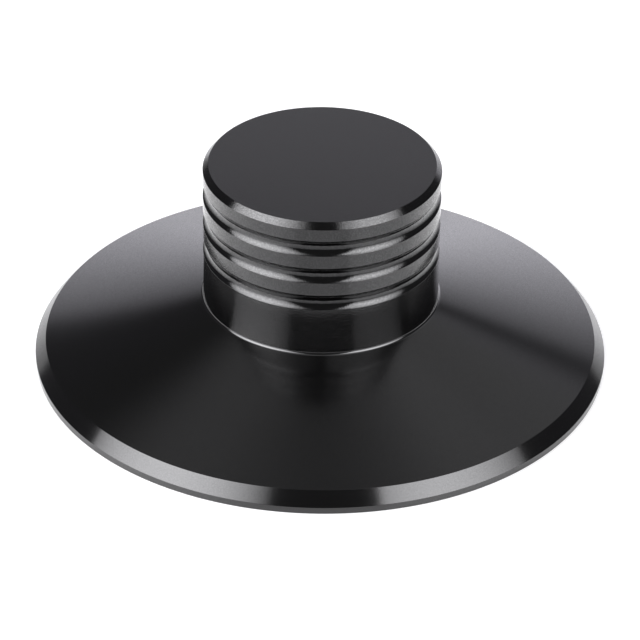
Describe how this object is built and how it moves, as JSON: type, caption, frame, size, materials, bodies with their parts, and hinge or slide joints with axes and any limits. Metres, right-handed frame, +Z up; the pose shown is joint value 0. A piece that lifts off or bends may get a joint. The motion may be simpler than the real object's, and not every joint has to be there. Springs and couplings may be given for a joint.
{
  "type": "record weight clamp",
  "caption": "Turned record weight with a shallow cone foot, bevelled rim and grooved finger grip, dropped over a turntable spindle to press the record flat.",
  "frame": {"origin": "centre of the flat underside that rests on the record", "axes": "+Z up along the turning axis, from the record towards the grip; X and Y are free, as the weight is round"},
  "size_m": [0.08, 0.08, 0.0303],
  "materials": {
    "black_anodise": "satin black anodised turning"
  },
  "bodies": {
    "root": {"weight_body": "black_anodise"}
  },
  "joints": []
}
